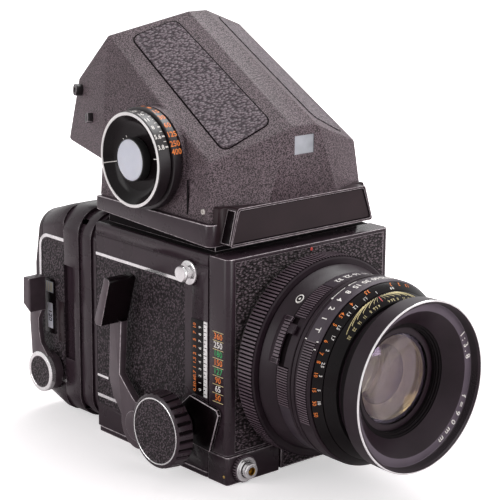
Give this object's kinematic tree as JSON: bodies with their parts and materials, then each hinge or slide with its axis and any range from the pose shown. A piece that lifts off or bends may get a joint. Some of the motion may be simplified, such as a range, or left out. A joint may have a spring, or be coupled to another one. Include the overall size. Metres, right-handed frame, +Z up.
{
  "type": "medium format film camera",
  "caption": "Single lens reflex camera for roll film, with a metered prism finder, a bellows front, a leaf shutter lens and a revolving back.",
  "frame": {"origin": "centre of the mouth of the tripod socket in the base", "axes": "+X towards the camera's left hand side as it looks out, +Y from the lens to the film back, +Z up"},
  "size_m": [0.145, 0.2336, 0.2115],
  "materials": {
    "black_paint": "satin black enamel on die casting",
    "crinkle_paint": "crinkle black enamel on die casting",
    "lens_black": "satin black anodised",
    "leather": "grained black covering",
    "chrome": "polished",
    "steel": "fine turned",
    "brass": "turned",
    "glass": "coated",
    "mirror": "front silvered",
    "black_plastic": "matt black",
    "white_plastic": "white",
    "bellows_cloth": "coated black cloth",
    "blade_steel": "blued"
  },
  "bodies": {
    "body": {"body_housing": "black_paint", "base_plate": "black_paint", "tripod_bush": "steel", "side_cover_right": "black_paint", "side_cover_left": "black_paint", "side_leather": "leather", "chrome_lines": "chrome", "scale_plate": "black_paint", "strap_lugs": "chrome", "focusing_screen": "glass", "finder_mount": "black_paint", "release_block": "black_paint", "accessory_shoe": "chrome", "bellows": "bellows_cloth", "finder_base": "black_paint", "finder_housing": "crinkle_paint", "finder_leather": "leather", "prism_glass": "glass", "nameplate": "black_paint", "front_window": "glass", "dial_disc": "white_plastic", "eyepiece": "black_plastic", "eyepiece_lens": "glass", "meter_fittings": "chrome"},
    "standard": {"front_standard": "black_paint", "front_leather": "leather", "lens_mount_ring": "chrome", "focus_racks": "brass", "lens_barrel": "lens_black", "filter_ring": "lens_black", "front_glass": "glass", "rear_glass": "glass", "shutter_blades": "blade_steel", "iris_blades": "blade_steel"},
    "focus_drive": {"focus_shaft": "steel", "focus_knob_right": "black_paint", "focus_knob_left": "black_paint"},
    "focus_lock": {"focus_lock_lever": "black_paint"},
    "cocking": {"cocking_lever": "black_paint"},
    "shutter_release": {"release_button": "chrome"},
    "release_lock": {"release_collar": "chrome"},
    "reflex_mirror": {"mirror_carrier": "black_paint", "mirror_glass": "mirror"},
    "rear_light_baffle": {"light_baffle": "black_paint"},
    "lens_breech": {"breech_ring": "lens_black"},
    "sync_selector": {"sync_lever": "chrome"},
    "aperture_control": {"aperture_ring": "lens_black"},
    "shutter_control": {"shutter_ring": "lens_black"},
    "distance_control": {"distance_ring": "lens_black"},
    "meter_speed_dial": {"dial_speed_ring": "lens_black"},
    "meter_aperture_dial": {"dial_aperture_ring": "lens_black"},
    "film_back": {"revolving_adapter": "black_paint", "film_holder": "black_paint", "pressure_plate": "steel"},
    "door": {"back_door": "black_paint"},
    "slide": {"dark_slide": "steel"},
    "film_wind": {"wind_lever": "black_paint"},
    "upper_spool": {"supply_spool": "black_plastic"},
    "lower_spool": {"takeup_spool": "black_plastic"},
    "back_latches": {"holder_latches": "black_paint"}
  },
  "joints": [
    {"name": "focus_slide", "type": "slide", "parent": "body", "child": "standard", "axis": [0, -1, 0], "range_m": [0, 0.046], "deforming": ["bellows"]},
    {"name": "focus_shaft_turn", "type": "hinge", "parent": "body", "child": "focus_drive", "pos_m": [0, -0.0285, 0.0243], "axis": [-1, 0, 0], "range_deg": [0, 528]},
    {"name": "focus_lock_turn", "type": "hinge", "parent": "body", "child": "focus_lock", "pos_m": [-0.053, -0.0285, 0.0243], "axis": [-1, 0, 0], "range_deg": [0, 30]},
    {"name": "cocking_turn", "type": "hinge", "parent": "body", "child": "cocking", "pos_m": [-0.057, 0.0027, 0.0156], "axis": [1, 0, 0], "range_deg": [0, 60], "stiffness_Nm_per_rad": 0.08, "springref_deg": -28.65},
    {"name": "release_press", "type": "slide", "parent": "body", "child": "shutter_release", "axis": [0, 1, 0], "range_m": [0, 0.0035], "stiffness_N_per_m": 300, "springref_m": -0.002},
    {"name": "release_lock_turn", "type": "hinge", "parent": "body", "child": "release_lock", "pos_m": [-0.042, -0.059, 0.007], "axis": [0, 1, 0], "range_deg": [0, 90]},
    {"name": "mirror_turn", "type": "hinge", "parent": "body", "child": "reflex_mirror", "pos_m": [0, 0.036, 0.092], "axis": [-1, 0, 0], "range_deg": [0, 45]},
    {"name": "baffle_turn", "type": "hinge", "parent": "body", "child": "rear_light_baffle", "pos_m": [0, 0.039, 0.0865], "axis": [-1, 0, 0], "range_deg": [0, 90]},
    {"name": "breech_turn", "type": "hinge", "parent": "standard", "child": "lens_breech", "pos_m": [0, -0.057, 0.0565], "axis": [0, 1, 0], "range_deg": [0, 35]},
    {"name": "sync_turn", "type": "hinge", "parent": "standard", "child": "sync_selector", "pos_m": [0, -0.057, 0.0565], "axis": [0, -1, 0], "range_deg": [0, 14]},
    {"name": "aperture_turn", "type": "hinge", "parent": "standard", "child": "aperture_control", "pos_m": [0, -0.057, 0.0565], "axis": [0, 1, 0], "range_deg": [0, 70]},
    {"name": "shutter_turn", "type": "hinge", "parent": "standard", "child": "shutter_control", "pos_m": [0, -0.057, 0.0565], "axis": [0, 1, 0], "range_deg": [0, 125]},
    {"name": "distance_turn", "type": "hinge", "parent": "standard", "child": "distance_control", "pos_m": [0, -0.057, 0.0565], "axis": [0, 1, 0], "range_deg": [0, 250]},
    {"name": "meter_speed_turn", "type": "hinge", "parent": "body", "child": "meter_speed_dial", "pos_m": [-0.051, 0.003, 0.1478], "axis": [-1, 0, 0], "range_deg": [0, 300]},
    {"name": "meter_aperture_turn", "type": "hinge", "parent": "body", "child": "meter_aperture_dial", "pos_m": [-0.058, 0.003, 0.1478], "axis": [-1, 0, 0], "range_deg": [0, 300]},
    {"name": "back_revolve", "type": "hinge", "parent": "body", "child": "film_back", "pos_m": [0, 0.048, 0.0565], "axis": [0, 1, 0], "range_deg": [0, 90]},
    {"name": "door_turn", "type": "hinge", "parent": "film_back", "child": "door", "pos_m": [0.0538, 0.092, 0.0565], "axis": [0, 0, -1], "range_deg": [0, 110]},
    {"name": "dark_slide_pull", "type": "slide", "parent": "film_back", "child": "slide", "axis": [1, 0, 0], "range_m": [0, 0.066]},
    {"name": "film_wind_turn", "type": "hinge", "parent": "film_back", "child": "film_wind", "pos_m": [-0.057, 0.0844, 0.0228], "axis": [-1, 0, 0], "range_deg": [0, 95], "stiffness_Nm_per_rad": 0.02, "springref_deg": -28.65},
    {"name": "upper_spool_turn", "type": "hinge", "parent": "film_back", "child": "upper_spool", "pos_m": [0, 0.079, 0.0902], "axis": [1, 0, 0], "continuous": true},
    {"name": "lower_spool_turn", "type": "hinge", "parent": "film_back", "child": "lower_spool", "pos_m": [0, 0.079, 0.0228], "axis": [1, 0, 0], "continuous": true},
    {"name": "latch_slide", "type": "slide", "parent": "film_back", "child": "back_latches", "axis": [1, 0, 0], "range_m": [-0.004, 0.004]}
  ],
  "couplings": [
    {"joint": "focus_shaft_turn", "follows": "focus_slide", "rad_per_m": 200},
    {"joint": "baffle_turn", "follows": "mirror_turn", "ratio": 2}
  ]
}
